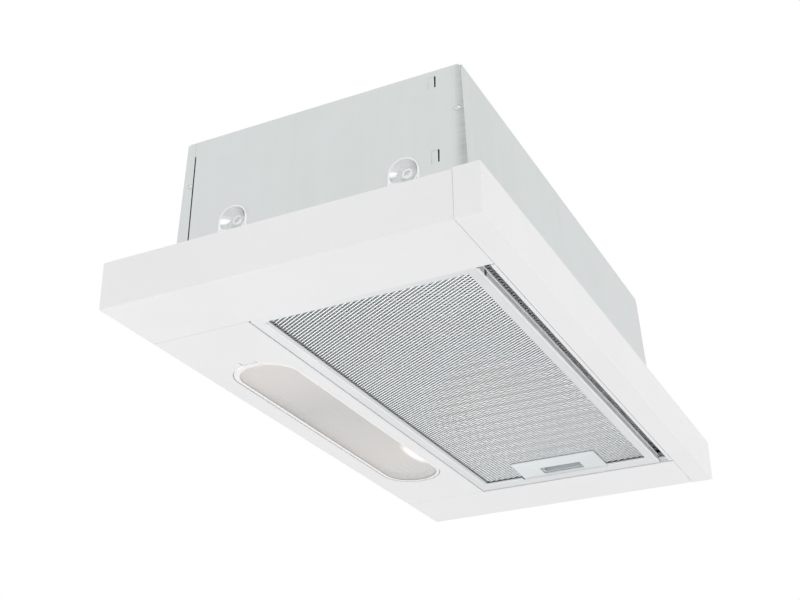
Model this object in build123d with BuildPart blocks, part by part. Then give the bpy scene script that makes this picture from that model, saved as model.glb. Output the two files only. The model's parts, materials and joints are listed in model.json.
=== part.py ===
from build123d import *
import os
from math import sin, cos, radians

os.makedirs("parts", exist_ok=True)

# Telescopic range hood, millimetres.
# +Z up, front (fascia) towards -Y, origin at the middle of the footprint on
# the flat underside.  Depths "d" below are measured back from the fascia's
# front face, so y = YF + d.

# ---------------------------------------------------------------- dimensions
W = 600.0            # width over the fascia
D = 309.0            # depth of the slab
YF = -D / 2          # y of the fascia's front face
HS = 40.0            # height of the slab
HC = 182.0           # top of the motor case

STRIP_X = 299.0      # half width of the slab behind the fascia
SEAM_L = 231.5       # |x| of the left end strip's inner edge
SEAM_R = 226.5       # |x| of the right end strip's inner edge
STRIP_D = 20.5       # front edge of the end strips
T_STRIP = 1.5        # wall of the end strips

FASCIA_D = 20.2      # depth of the fascia's channel
FASCIA_H = 40.5
T_FASCIA = 1.4

T_CASE = 0.8         # galvanised sheet
CASE_HALF = 232.4    # half width of the case at z = HS
CASE_LEAN = 0.0332   # the side walls lean in by this much per mm of height
CASE_FRONT = 34.9    # depth of the case's front face at z = HS
FRONT_LEAN = 0.04379
CASE_REAR = 295.0    # depth of the case's rear face at z = HS
REAR_LEAN = 0.02825
Z_WALL = HC - T_CASE  # walls end under the top panel

CUP_D = (89.9, 241.2)  # depths of the two side cups
CUP_Z = 95.3         # middle of a cup's rim
CUP_BZ = 98.6        # middle of its bottom, where the screw goes through
CUP_DEPTH = 8.0
CUP_HOLE_R = 2.6

SPIGOT_D = 166.0     # depth of the duct spigot's axis
SPIGOT_R = 59.5
SPIGOT_BORE = 57.5
SPIGOT_TOP = 207.0
FLAP_Z = 188.0       # height of the damper flaps
FLAP_GAP = 3.0       # hinge lines stand this far from the spigot's middle

BLOW_D = 206.0       # blower axis
BLOW_Z = 114.0
BLOW_HALF = 55.0     # half width of the scroll
IMP_R = 46.0
T_SCROLL = 1.5

RAIL_IN, RAIL_OUT = 223.0, 229.7
RAIL_Z0, RAIL_Z1 = 15.2, 34.8
CARR_REAR = 224.0    # rear end of the carriage

FIL_X0, FIL_X1 = -230.8, 225.6
FIL_D0, FIL_D1 = 33.4, 221.0
FIL_Z0, FIL_Z1 = 0.6, 8.4
WIN_X0, WIN_X1 = -224.0, 204.5
WIN_D0, WIN_D1 = 42.7, 208.2

LATCH = (162.0, 211.0, 82.0, 170.0)   # latch housing, x and depth
GRIP = (186.0, 202.0, 104.0, 144.0)   # its finger slot

LENS_D = 262.0       # depth of the lens's long axis
LENS_CX = 134.8      # x of its end circles
LENS_R = 29.2

LAMP_Z = 24.0        # height of the lamps' axis


def half_w(z):
    return CASE_HALF - (z - HS) * CASE_LEAN


def front_d(z):
    return CASE_FRONT + (z - HS) * FRONT_LEAN


def rear_d(z):
    return CASE_REAR - (z - HS) * REAR_LEAN


# ------------------------------------------------------------------ helpers
def block(x0, x1, d0, d1, z0, z1, mode=Mode.ADD):
    with BuildSketch(Plane.XY.offset(z0)) as s:
        with Locations(((x0 + x1) / 2, YF + (d0 + d1) / 2)):
            Rectangle(x1 - x0, d1 - d0)
    extrude(s.sketch, amount=z1 - z0, mode=mode)


def side_block(s, xa, xb, d0, d1, z0, z1, mode=Mode.ADD):
    """Block given by distances from the middle, on side s (-1 left, 1 right)."""
    lo, hi = sorted((s * xa, s * xb))
    block(lo, hi, d0, d1, z0, z1, mode)


def disc(x, d, r, z0, z1, mode=Mode.ADD):
    """Upright cylinder."""
    with BuildSketch(Plane.XY.offset(z0)) as s:
        with Locations((x, YF + d)):
            Circle(r)
    extrude(s.sketch, amount=z1 - z0, mode=mode)


def bar_x(x0, x1, d, z, r, mode=Mode.ADD):
    """Round bar along X."""
    with BuildSketch(Plane.YZ.offset(x0)) as s:
        with Locations((YF + d, z)):
            Circle(r)
    extrude(s.sketch, amount=x1 - x0, mode=mode)


def bar_y(x, d0, d1, z, r, mode=Mode.ADD):
    """Round bar along Y."""
    with BuildSketch(Plane.XZ.offset(-(YF + d0))) as s:
        with Locations((x, z)):
            Circle(r)
    extrude(s.sketch, amount=d0 - d1, mode=mode)


def shell_walls(inset, z0, z1, mode=Mode.ADD):
    """Tapered body of the case, set in from its outer faces."""
    sections = []
    for z in (z0, z1):
        with BuildSketch(Plane.XY.offset(z)) as s:
            with Locations((0, YF + (front_d(z) + rear_d(z)) / 2)):
                Rectangle(2 * (half_w(z) - inset), rear_d(z) - front_d(z) - 2 * inset)
        sections.append(s.sketch.faces()[0])
    loft(sections, mode=mode)


def stadium(r, z0, z1, mode=Mode.ADD):
    """Lens-shaped prism."""
    with BuildSketch(Plane.XY.offset(z0)) as s:
        with Locations((0, YF + LENS_D)):
            SlotOverall(2 * (LENS_CX + r), 2 * r)
    extrude(s.sketch, amount=z1 - z0, mode=mode)


def stadium_cone(r0, z0, r1, z1, mode=Mode.ADD):
    sections = []
    for r, z in ((r0, z0), (r1, z1)):
        with BuildSketch(Plane.XY.offset(z)) as s:
            with Locations((0, YF + LENS_D)):
                SlotOverall(2 * (LENS_CX + r), 2 * r)
        sections.append(s.sketch.faces()[0])
    loft(sections, mode=mode)


def round_edges(r, test):
    chosen = edges().filter_by(lambda e: test(e @ 0.5))
    fillet(chosen, r)


def near(a, b, tol=0.01):
    return abs(a - b) < tol


def side_plane(s, d, z, inward=0.0):
    """Plane on the case's side wall, its normal pointing into the case."""
    n = Vector(-s, 0, -CASE_LEAN).normalized()
    o = Vector(s * half_w(z), YF + d, z) + n * inward
    return Plane(origin=o, x_dir=(0, 1, 0), z_dir=n)


# ------------------------------------------------------- galvanised motor case
FLANGE_F = 48.5      # the front panel's side flanges end here
FLANGE_R = 283.3     # the rear panel's side flanges begin here
SCREW_POS = ((45.0, 140.9), (286.3, 139.3))   # flange screws, depth and height
SCREW_R = 1.5
RAIL_SCREWS = (-180.0, 0.0, 180.0)              # front rail to case

with BuildPart() as case_front:
    shell_walls(0, HS, Z_WALL)
    shell_walls(T_CASE, HS - 1, Z_WALL + 1, mode=Mode.SUBTRACT)
    block(-300, 300, 0, FLANGE_F, HS - 2, Z_WALL + 2, mode=Mode.INTERSECT)
    for s in (-1, 1):
        bar_x(*sorted((s * 222, s * 236)), *SCREW_POS[0], SCREW_R + 0.1, mode=Mode.SUBTRACT)
        # open corner under the top panel
        side_block(s, half_w(HC) - 1.2, 240, 38, front_d(HC) + 1.7, 177.0, Z_WALL + 1, mode=Mode.SUBTRACT)
    for x in RAIL_SCREWS:
        bar_y(x, 30, 40, HS + 6, 1.75, mode=Mode.SUBTRACT)
case_front.part.label = "case_front"

with BuildPart() as case_rear:
    shell_walls(0, 13.0, Z_WALL)
    shell_walls(T_CASE, 12.0, Z_WALL + 1, mode=Mode.SUBTRACT)
    block(-300, 300, FLANGE_R, 320, 10, Z_WALL + 2, mode=Mode.INTERSECT)
    for s in (-1, 1):
        bar_x(*sorted((s * 222, s * 236)), *SCREW_POS[1], SCREW_R + 0.1, mode=Mode.SUBTRACT)
case_rear.part.label = "case_rear"


def side_panel(s):
    """Flat side with joggled edges that lie behind the front and rear flanges."""
    shell_walls(0, 13.0, Z_WALL)
    shell_walls(T_CASE, 12.0, Z_WALL + 1, mode=Mode.SUBTRACT)
    side_block(s, 150, 300, FLANGE_F + 0.05, FLANGE_R - 1.2, 10, Z_WALL + 2, mode=Mode.INTERSECT)
    # above the long slit the sheet runs up to the rear flange
    with BuildPart(mode=Mode.PRIVATE) as lip:
        shell_walls(0, 168.0, Z_WALL)
        shell_walls(T_CASE, 167.0, Z_WALL + 1, mode=Mode.SUBTRACT)
        side_block(s, 150, 300, FLANGE_R - 1.4, FLANGE_R - 0.1, 160, Z_WALL + 2, mode=Mode.INTERSECT)
    add(lip.part)
    # behind the long slit the sheet is open; the rear joggle hangs from its top
    for d0, d1, z0 in ((30.0, 54.0, HS + 2), (277.0, 300.0, 169.5), (285.2, 300.0, 15.0)):
        with BuildPart(mode=Mode.PRIVATE) as joggle:
            shell_walls(T_CASE, z0, Z_WALL - 1)
            shell_walls(2 * T_CASE, z0 - 1, Z_WALL, mode=Mode.SUBTRACT)
            side_block(s, 219, 300, d0, d1, z0 - 2, Z_WALL + 2, mode=Mode.INTERSECT)
        add(joggle.part)
    # two lanced slots, each with a pressed pad behind it
    for d, z0, z1 in ((63.0, 166.0, 176.5), (60.5, 96.2, 107.3)):
        zm = (z0 + z1) / 2
        side_block(s, 210, 240, d - 0.7, d + 0.7, z0, z1, mode=Mode.SUBTRACT)
        side_block(s, half_w(zm) - 0.35, 240, d + 0.6, d + 6.0, z0, z1, mode=Mode.SUBTRACT)
    for d in CUP_D:
        with BuildSketch(side_plane(s, d, CUP_Z, -3)) as hole:
            Circle(13.25)
        extrude(hole.sketch, amount=8, mode=Mode.SUBTRACT)
    for d, z in SCREW_POS:
        bar_x(*sorted((s * 222, s * 236)), d, z, SCREW_R + 0.1, mode=Mode.SUBTRACT)
    for d in (90.0, 240.0):
        bar_x(*sorted((s * 222, s * 236)), d, 47.0, 1.75, mode=Mode.SUBTRACT)


with BuildPart() as case_left:
    side_panel(-1)
case_left.part.label = "case_left"

with BuildPart() as case_right:
    side_panel(1)
case_right.part.label = "case_right"

BLOWER_SCREWS = [(x, d) for x in (-66.0, 66.0) for d in (112.0, 220.0)]
GLAND = (150.0, 214.0)

with BuildPart() as case_top:
    shell_walls(0, Z_WALL, HC)
    disc(0, SPIGOT_D, SPIGOT_BORE, Z_WALL - 1, HC + 1, mode=Mode.SUBTRACT)
    disc(*GLAND, 6.2, Z_WALL - 1, HC + 1, mode=Mode.SUBTRACT)
    for x, d in BLOWER_SCREWS:
        disc(x, d, 2.1, Z_WALL - 1, HC + 1, mode=Mode.SUBTRACT)
    for s in (-1, 1):   # corner reliefs
        side_block(s, half_w(HC) - 2.2, 240, 38, front_d(HC) + 2.2, Z_WALL - 1, HC + 1, mode=Mode.SUBTRACT)
        side_block(s, half_w(HC) - 2.2, 240, rear_d(HC) - 2.2, 300, Z_WALL - 1, HC + 1, mode=Mode.SUBTRACT)
case_top.part.label = "case_top"

# pressed cups that take the screws into the cabinet's sides
with BuildPart() as side_cups:
    for s in (-1, 1):
        for d in CUP_D:
            outer, inner = [], []
            for z, depth, r in ((CUP_Z, 0.0, 13.2), (CUP_BZ, CUP_DEPTH + 0.8, 5.4)):
                with BuildSketch(side_plane(s, d, z, depth)) as ring:
                    Circle(r)
                outer.append(ring.sketch.faces()[0])
            for z, depth, r in ((CUP_Z, -0.2, 12.5), (CUP_BZ, CUP_DEPTH, 4.6)):
                with BuildSketch(side_plane(s, d, z, depth)) as ring:
                    Circle(r)
                inner.append(ring.sketch.faces()[0])
            loft(outer)
            loft(inner, mode=Mode.SUBTRACT)
            zc = CUP_BZ - CUP_DEPTH * CASE_LEAN
            bar_x(*sorted((s * 215, s * 226)), d, zc, CUP_HOLE_R, mode=Mode.SUBTRACT)
side_cups.part.label = "side_cups"

with BuildPart() as case_screws:
    for s in (-1, 1):
        for d, z in SCREW_POS:
            with BuildSketch(side_plane(s, d, z, -1.3)) as cap:
                Circle(1.6)
            with BuildSketch(side_plane(s, d, z, -0.05)) as base:
                Circle(2.7)
            loft([cap.sketch.faces()[0], base.sketch.faces()[0]])
            with BuildSketch(side_plane(s, d, z, -0.2)) as shank:
                Circle(1.35)
            extrude(shank.sketch, amount=6.0)
            with BuildSketch(side_plane(s, d, z, -1.5)) as cross:
                Rectangle(2.2, 0.5)
                Rectangle(0.5, 2.2)
            extrude(cross.sketch, amount=0.8, mode=Mode.SUBTRACT)
case_screws.part.label = "case_screws"


# ---------------------------------------------------------------- slab, fixed
HOOK_D = ((60.0, 80.0), (175.0, 195.0))   # the filter's hook tabs


def end_strip(s, seam):
    side_block(s, seam, STRIP_X, STRIP_D, D, 0, HS)
    round_edges(1.0, lambda p: near(abs(p.X), STRIP_X) or (near(p.Y, YF + D) and not near(abs(p.X), seam)))
    side_block(s, seam - 1, STRIP_X - T_STRIP, STRIP_D + T_STRIP, D - T_STRIP, T_STRIP, HS - T_STRIP, mode=Mode.SUBTRACT)
    # the top plate stops beside the case, the front wall beside the carriage
    side_block(s, seam - 1, 232.6, STRIP_D - 1, 296.4, HS - T_STRIP - 0.5, HS + 1, mode=Mode.SUBTRACT)
    side_block(s, seam - 1, 232.0, STRIP_D - 1, STRIP_D + T_STRIP + 1, T_STRIP, HS + 1, mode=Mode.SUBTRACT)
    side_block(s, seam, seam + T_STRIP, STRIP_D, D - T_STRIP, T_STRIP - 0.5, 11.0)
    side_block(s, 232.6, 233.8, 60, 270, HS - 1.0, HS + 14)
    for d in (90.0, 240.0):
        bar_x(*sorted((s * 230, s * 236)), d, 47.0, 1.75, mode=Mode.SUBTRACT)


with BuildPart() as end_strip_left:
    end_strip(-1, SEAM_L)
    for d0, d1 in HOOK_D:
        side_block(-1, SEAM_L - 1, SEAM_L + T_STRIP + 0.1, d0 - 1, d1 + 1, T_STRIP, 12, mode=Mode.SUBTRACT)
end_strip_left.part.label = "end_strip_left"

with BuildPart() as end_strip_right:
    end_strip(1, SEAM_R)
    # keeper slot for the latch's tongue
    block(SEAM_R - 1, SEAM_R + T_STRIP + 0.1, 115.5, 132.5, 2.0, 7.0, mode=Mode.SUBTRACT)
end_strip_right.part.label = "end_strip_right"

PX0, PX1 = -SEAM_L + 0.25, SEAM_R - 0.25
with BuildPart() as lamp_panel:
    block(PX0, PX1, 221.6, D, 0, HS)
    round_edges(1.0, lambda p: near(p.Y, YF + D) and (near(p.Z, 0) or near(p.Z, HS)))
    block(PX0 - 1, PX1 + 1, 222.8, D - 1.2, 1.2, HS - 1.2, mode=Mode.SUBTRACT)
    block(PX0 - 1, PX1 + 1, 200, 296.4, HS - 1.5, HS + 1, mode=Mode.SUBTRACT)
    block(PX0 - 1, PX1 + 1, 200, 222.9, 11.0, HS + 1, mode=Mode.SUBTRACT)
    # raised seat of the lens
    stadium(LENS_R + 1.6, 1.0, 3.7)
    stadium(LENS_R + 0.4, -1, 2.7, mode=Mode.SUBTRACT)
    stadium(26.6, 2.5, 4.5, mode=Mode.SUBTRACT)
    block(158, 170, LENS_D - 40, LENS_D + 40, 2.6, 4.5, mode=Mode.SUBTRACT)
    block(-169.6, -160, LENS_D - 7.3, LENS_D + 7.3, -1, 4.5, mode=Mode.SUBTRACT)
lamp_panel.part.label = "lamp_panel"

with BuildPart() as front_rail:
    block(-232.0, 232.0, STRIP_D + 0.2, 34.6, HS - 1.4, HS)
    block(-226.0, 226.0, 33.4, 34.6, HS - 1.0, HS + 10)
    for x in RAIL_SCREWS:
        bar_y(x, 30, 38, HS + 6, 1.75, mode=Mode.SUBTRACT)
front_rail.part.label = "front_rail"

with BuildPart() as base_screws:
    for s in (-1, 1):
        for d in (90.0, 240.0):
            bar_x(*sorted((s * 233.9, s * 235.5)), d, 47.0, 3.0)
            bar_x(*sorted((s * 227.0, s * 234.0)), d, 47.0, 1.6)
    for x in RAIL_SCREWS:
        bar_y(x, 31.8, 33.3, HS + 6, 3.0)
        bar_y(x, 33.0, 38.5, HS + 6, 1.6)
base_screws.part.label = "base_screws"


def runner(s):
    """Fixed channel for one carriage rail."""
    side_block(s, 230.1, 231.3, 24, 226, 13.6, 36.4)
    side_block(s, 222.0, 230.2, 24, 226, 13.6, 14.8)
    side_block(s, 222.0, 230.2, 24, 226, 35.2, 36.4)
    for d in (70, 185):
        side_block(s, 231.2, 231.72, d - 8, d + 8, 33, 36.4)


with BuildPart() as runner_left:
    runner(-1)
runner_left.part.label = "runner_left"

with BuildPart() as runner_right:
    runner(1)
runner_right.part.label = "runner_right"

# ----------------------------------------------------------------- lamp bay
with BuildPart() as lamp_reflector:
    block(-176, 176, 229.5, 293.4, 4.0, 44.0)
    round_edges(2.0, lambda p: near(p.Z, 44.0))
    block(-175, 175, 230.5, 292.4, 3.0, 43.0, mode=Mode.SUBTRACT)
    for s in (-1, 1):
        side_block(s, 170.5, 176, 236, 288, 1.2, 4.2)
lamp_reflector.part.label = "lamp_reflector"

with BuildPart() as lamp_holders:
    for s in (-1, 1):
        bar_x(*sorted((s * 145, s * 175)), LENS_D, LAMP_Z, 13.0)
        bar_x(*sorted((s * 144, s * 166)), LENS_D, LAMP_Z, 7.2, mode=Mode.SUBTRACT)
        bar_x(*sorted((s * 150, s * 154)), LENS_D, LAMP_Z, 14.5)
        bar_x(*sorted((s * 149, s * 155)), LENS_D, LAMP_Z, 7.2, mode=Mode.SUBTRACT)
lamp_holders.part.label = "lamp_holders"


def bulb(s):
    """Screw base and candle-shaped glass, turned about its own axis."""
    with BuildSketch(Plane.XY.offset(LAMP_Z)) as prof:
        with BuildLine():
            pts = [(163, 0), (163, 4.5), (160, 7), (143.5, 7), (141, 8.2), (134, 11.5),
                   (122, 14.4), (110, 15), (96, 13.6), (82, 10.2), (71, 5.8), (66, 2.4), (64.5, 0)]
            pts = [(s * x, YF + LENS_D + r) for x, r in pts]
            l1 = Polyline(*pts[:5])
            l2 = Spline(*pts[4:])
            Line(l2 @ 1, l1 @ 0)
        make_face()
    revolve(prof.sketch, axis=Axis((0, YF + LENS_D, LAMP_Z), (1, 0, 0)))


with BuildPart() as bulbs:
    bulb(-1)
    bulb(1)
bulbs.part.label = "bulbs"

with BuildPart() as lens_clip:
    block(-169.2, -164.4, LENS_D - 6.8, LENS_D + 6.8, 0.2, 1.8)
    block(-169.2, -167.8, LENS_D - 6.8, LENS_D + 6.8, 0.2, 8.0)
lens_clip.part.label = "lens_clip"

# ------------------------------------------------------------------- blower


def spiral_point(a, grow):
    """a in degrees from straight up, towards the rear."""
    r = 50 + 24 * (a + 5) / 275 + grow
    return (YF + BLOW_D + r * sin(radians(a)), BLOW_Z + r * cos(radians(a)))


def scroll_profile(grow, top):
    """Side view of the air path, or of its wall's outside when grow is the wall."""
    first = -5.0 + 1.2 * grow
    pts = [spiral_point(first + (270.0 - first) * i / 25, grow) for i in range(26)]
    with BuildSketch(Plane.YZ) as prof:
        with BuildLine():
            sp = Spline(*pts)
            top_front = (pts[-1][0], top)
            top_rear = (pts[0][0], top)
            Polyline(sp @ 1, top_front, top_rear, sp @ 0)
        make_face()
    return prof.sketch


SCROLL_TOP = 179.0
inner_profile = scroll_profile(0, 190)
outer_profile = scroll_profile(T_SCROLL, 190)

with BuildPart() as scroll_wrap:
    with Locations((-BLOW_HALF, 0, 0)):
        add(extrude(outer_profile, amount=2 * BLOW_HALF, mode=Mode.PRIVATE))
    with Locations((-BLOW_HALF - 1, 0, 0)):
        add(extrude(inner_profile, amount=2 * BLOW_HALF + 2, mode=Mode.PRIVATE), mode=Mode.SUBTRACT)
    block(-100, 100, 0, 309, SCROLL_TOP, 230, mode=Mode.SUBTRACT)
    for s in (-1, 1):     # ears under the top panel for the fixing screws
        for d in (112.0, 220.0):
            side_block(s, 48.0, 70.0, d - 6, d + 6, SCROLL_TOP - 3, SCROLL_TOP + 2.0)
    # keep the ears clear of the air path and join them to the walls
    side_block(-1, -55, 55, 132.2, 200.8, SCROLL_TOP - 4, SCROLL_TOP + 3, mode=Mode.SUBTRACT)
    for s in (-1, 1):
        for d0, d1 in ((112.0, 131.5), (201.0, 220.0)):
            side_block(s, 48.0, 55.0, d0, d1, SCROLL_TOP - 3, SCROLL_TOP)
        for x, d in BLOWER_SCREWS:
            disc(x, d, 1.7, SCROLL_TOP - 4, SCROLL_TOP + 3, mode=Mode.SUBTRACT)
scroll_wrap.part.label = "scroll_wrap"


def scroll_side(s):
    x0, x1 = sorted((s * (BLOW_HALF + 0.05), s * (BLOW_HALF + 1.55)))
    with Locations((x0, 0, 0)):
        add(extrude(outer_profile, amount=x1 - x0, mode=Mode.PRIVATE))
    block(-100, 100, 0, 309, SCROLL_TOP - 3.2, 230, mode=Mode.SUBTRACT)
    lo, hi = sorted((s * (BLOW_HALF + 1.5), s * (BLOW_HALF + 6.0)))
    bar_x(lo, hi, BLOW_D, BLOW_Z, 42.0)
    lo, hi = sorted((s * (BLOW_HALF - 1), s * (BLOW_HALF + 8)))
    bar_x(lo, hi, BLOW_D, BLOW_Z, 40.0, mode=Mode.SUBTRACT)


with BuildPart() as scroll_side_left:
    scroll_side(-1)
scroll_side_left.part.label = "scroll_side_left"

with BuildPart() as scroll_side_right:
    scroll_side(1)
scroll_side_right.part.label = "scroll_side_right"

with BuildPart() as blower_screws:
    for x, d in BLOWER_SCREWS:
        disc(x, d, 3.6, HC + 0.02, HC + 2.2)
        disc(x, d, 1.6, 170.0, HC + 1.0)
blower_screws.part.label = "blower_screws"

with BuildPart() as motor:
    bar_x(-116, -66, BLOW_D, BLOW_Z, 31.0)
    round_edges(3.0, lambda p: near(p.X, -116) or near(p.X, -66))
    bar_x(-122, -115, BLOW_D, BLOW_Z, 9.0)
    bar_x(-67, -64, BLOW_D, BLOW_Z, 11.0)
    bar_x(-92, -60, BLOW_D, BLOW_Z, 4.0, mode=Mode.SUBTRACT)
motor.part.label = "motor"

with BuildPart() as motor_bracket:
    bar_x(-84, -74, BLOW_D, BLOW_Z, 33.0)
    bar_x(-85, -73, BLOW_D, BLOW_Z, 31.1, mode=Mode.SUBTRACT)
    for a in (90, 210, 330):
        with BuildSketch(Plane.YZ.offset(-84)) as arm:
            with Locations((YF + BLOW_D, BLOW_Z)):
                with PolarLocations(40.0, 1, start_angle=a):
                    Rectangle(15.0, 10.0)
        extrude(arm.sketch, amount=1.5)
        with BuildSketch(Plane.YZ.offset(-84)) as leg:
            with Locations((YF + BLOW_D, BLOW_Z)):
                with PolarLocations(46.0, 1, start_angle=a):
                    Rectangle(2.0, 10.0)
        extrude(leg.sketch, amount=84 - BLOW_HALF - 1.6)
motor_bracket.part.label = "motor_bracket"

with BuildPart() as motor_shaft:
    bar_x(-90, 16, BLOW_D, BLOW_Z, 3.95)
motor_shaft.part.label = "motor_shaft"

with BuildPart() as impeller:
    # hub plate in the middle, and an end ring at each side
    bar_x(-1.2, 1.2, BLOW_D, BLOW_Z, 39.05)
    bar_x(-12, 12, BLOW_D, BLOW_Z, 9.0)
    for x in (-48.0, 45.5):
        bar_x(x, x + 2.5, BLOW_D, BLOW_Z, IMP_R)
        bar_x(x - 0.5, x + 3.0, BLOW_D, BLOW_Z, 38.5, mode=Mode.SUBTRACT)
    bar_x(-13, 13, BLOW_D, BLOW_Z, 4.0, mode=Mode.SUBTRACT)
impeller.part.label = "impeller"

# blades pressed into the plate's rim, one solid each
with BuildPart() as impeller_blades:
    with BuildSketch(Plane.YZ.offset(-45.5)) as blades:
        with Locations((YF + BLOW_D, BLOW_Z)):
            with PolarLocations(42.0, 30):
                Rectangle(7.6, 1.1, rotation=38)
    extrude(blades.sketch, amount=91.0)
impeller_blades.part.label = "impeller_blades"

with BuildPart() as capacitor:
    bar_x(-178, -124, 272.0, 120.0, 14.0)
    round_edges(1.5, lambda p: near(p.X, -178) or near(p.X, -124))
    for d in (267.0, 277.0):
        bar_x(-124.5, -118, d, 120.0, 1.6)
capacitor.part.label = "capacitor"

with BuildPart() as capacitor_clip:
    bar_x(-156, -146, 272.0, 120.0, 15.1)
    bar_x(-157, -145, 272.0, 120.0, 14.05, mode=Mode.SUBTRACT)
    block(-156, -146, 286.6, 291.6, 118.8, 121.2)
    block(-160, -142, 290.4, 291.6, 112, 128)
capacitor_clip.part.label = "capacitor_clip"

with BuildPart() as terminal_box:
    block(120, 184, 236, 288, 146, 180.8)
    round_edges(2.0, lambda p: near(p.X, 120) or near(p.X, 184))
    block(122, 182, 238, 286, 145, 179.0, mode=Mode.SUBTRACT)
    block(143, 157, 230, 240, 160, 172, mode=Mode.SUBTRACT)
terminal_box.part.label = "terminal_box"

with BuildPart() as terminal_cover:
    block(120, 184, 236, 288, 143.4, 145.9)
    for x in (127, 177):
        disc(x, 262, 3.0, 142.2, 143.5)
terminal_cover.part.label = "terminal_cover"

with BuildPart() as cable_gland:
    with BuildSketch(Plane.XY.offset(HC + 0.05)) as hexa:
        with Locations((GLAND[0], YF + GLAND[1])):
            RegularPolygon(9.5, 6)
    extrude(hexa.sketch, amount=4.0)
    disc(*GLAND, 8.0, HC + 4.0, HC + 11.0)
    disc(*GLAND, 6.1, 174.0, HC + 1.0)
    round_edges(1.2, lambda p: near(p.Z, HC + 11.0))
    disc(*GLAND, 4.0, 170, HC + 14, mode=Mode.SUBTRACT)
cable_gland.part.label = "cable_gland"

with BuildPart() as gland_nut:
    with BuildSketch(Plane.XY.offset(177.4)) as hexa:
        with Locations((GLAND[0], YF + GLAND[1])):
            RegularPolygon(9.5, 6)
            Circle(6.15, mode=Mode.SUBTRACT)
    extrude(hexa.sketch, amount=3.7)
gland_nut.part.label = "gland_nut"

# ---------------------------------------------------- duct spigot and damper
with BuildPart() as duct_spigot:
    disc(0, SPIGOT_D, 63.5, HC + 0.02, HC + 2.5)
    disc(0, SPIGOT_D, SPIGOT_R, HC + 1.0, SPIGOT_TOP)
    disc(0, SPIGOT_D, SPIGOT_BORE, HC - 1, SPIGOT_TOP + 1, mode=Mode.SUBTRACT)
    # seat ring under the flaps and the bridge between them
    disc(0, SPIGOT_D, SPIGOT_BORE + 0.5, 185.0, 186.6)
    disc(0, SPIGOT_D, 54.0, 184.0, 187.5, mode=Mode.SUBTRACT)
    block(-57.8, 57.8, SPIGOT_D - 2.0, SPIGOT_D + 2.0, 183.0, 186.6)
    for d in (SPIGOT_D - FLAP_GAP, SPIGOT_D + FLAP_GAP):
        bar_x(-62, 62, d, FLAP_Z, 1.55, mode=Mode.SUBTRACT)
duct_spigot.part.label = "duct_spigot"


def flap(s):
    """Half disc on its own hinge pins; s = -1 front, 1 rear."""
    hinge = SPIGOT_D + s * FLAP_GAP
    disc(0, SPIGOT_D, 56.6, FLAP_Z - 0.6, FLAP_Z + 0.6)
    if s < 0:
        block(-70, 70, hinge + 1.0, SPIGOT_D + 70, FLAP_Z - 2, FLAP_Z + 2, mode=Mode.SUBTRACT)
    else:
        block(-70, 70, SPIGOT_D - 70, hinge - 1.0, FLAP_Z - 2, FLAP_Z + 2, mode=Mode.SUBTRACT)
    bar_x(-59.0, 59.0, hinge, FLAP_Z, 1.5)


with BuildPart() as flap_front:
    flap(-1)
flap_front.part.label = "flap_front"

with BuildPart() as flap_rear:
    flap(1)
flap_rear.part.label = "flap_rear"

# ------------------------------------------------------------- end switch
with BuildPart() as microswitch:
    block(-218, -210, 231, 251, 15, 28)
    for d in (235, 241, 247):
        block(-214.6, -213.4, d - 2, d + 2, 10, 15.5)
    bar_x(-219, -209, 246, 24, 1.5, mode=Mode.SUBTRACT)
    # two ears carry the lever's pin
    block(-218, -216.9, 229.2, 231.5, 15, 20)
    block(-211.1, -210, 229.2, 231.5, 15, 20)
    bar_x(-219, -209, 230.2, 17.6, 0.85, mode=Mode.SUBTRACT)
microswitch.part.label = "microswitch"

with BuildPart() as switch_lever:
    block(-216.5, -211.5, 229.95, 230.45, 17.6, 30.0)
    bar_x(-217.9, -210.1, 230.2, 17.6, 0.8)
switch_lever.part.label = "switch_lever"

with BuildPart() as switch_bracket:
    block(-209.8, -208.8, 229, 256, 1.3, 30)
    block(-209.8, -196, 229, 256, 1.3, 2.3)
switch_bracket.part.label = "switch_bracket"

# ------------------------------------------------------------ sliding carriage
with BuildPart() as fascia:
    block(-W / 2, W / 2, 0, FASCIA_D, 0, FASCIA_H)
    round_edges(1.0, lambda p: near(p.Y, YF) or (near(abs(p.X), W / 2) and (near(p.Z, 0) or near(p.Z, FASCIA_H))))
    block(-W / 2 + T_FASCIA, W / 2 - T_FASCIA, T_FASCIA, FASCIA_D + 1, T_FASCIA, FASCIA_H - T_FASCIA, mode=Mode.SUBTRACT)
    block(-W / 2 + 1.2, W / 2 - 1.2, FASCIA_D - 1.2, FASCIA_D, 1.0, 5.0)
    block(-W / 2 + 1.2, W / 2 - 1.2, FASCIA_D - 1.2, FASCIA_D, 36.0, FASCIA_H - 1.0)
fascia.part.label = "fascia"

with BuildPart() as front_beam:
    block(-229.5, 224.5, 20.6, 21.8, 0.3, 14.0)
    block(-RAIL_OUT, RAIL_OUT, 20.6, 21.8, 13.0, 36.5)
    block(-229.5, 224.5, 20.6, 24.0, 0.3, 1.5)
    block(-RAIL_OUT, RAIL_OUT, 20.6, 23.3, 35.3, 36.5)
front_beam.part.label = "front_beam"

with BuildPart() as fascia_brackets:
    for x in (-190, 0, 190):
        block(x - 15, x + 15, T_FASCIA, 20.6, 8, 32)
        block(x - 13.5, x + 13.5, T_FASCIA + 1.5, 19.1, 7, 33, mode=Mode.SUBTRACT)
fascia_brackets.part.label = "fascia_brackets"


def rail(s):
    side_block(s, RAIL_IN, RAIL_OUT, 21.8, CARR_REAR, RAIL_Z0, RAIL_Z1)
    side_block(s, RAIL_IN + 1, RAIL_OUT - 1, 20, CARR_REAR + 2, RAIL_Z0 + 1, RAIL_Z1 - 1, mode=Mode.SUBTRACT)


with BuildPart() as rail_left:
    rail(-1)
rail_left.part.label = "rail_left"

with BuildPart() as rail_right:
    rail(1)
rail_right.part.label = "rail_right"

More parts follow.
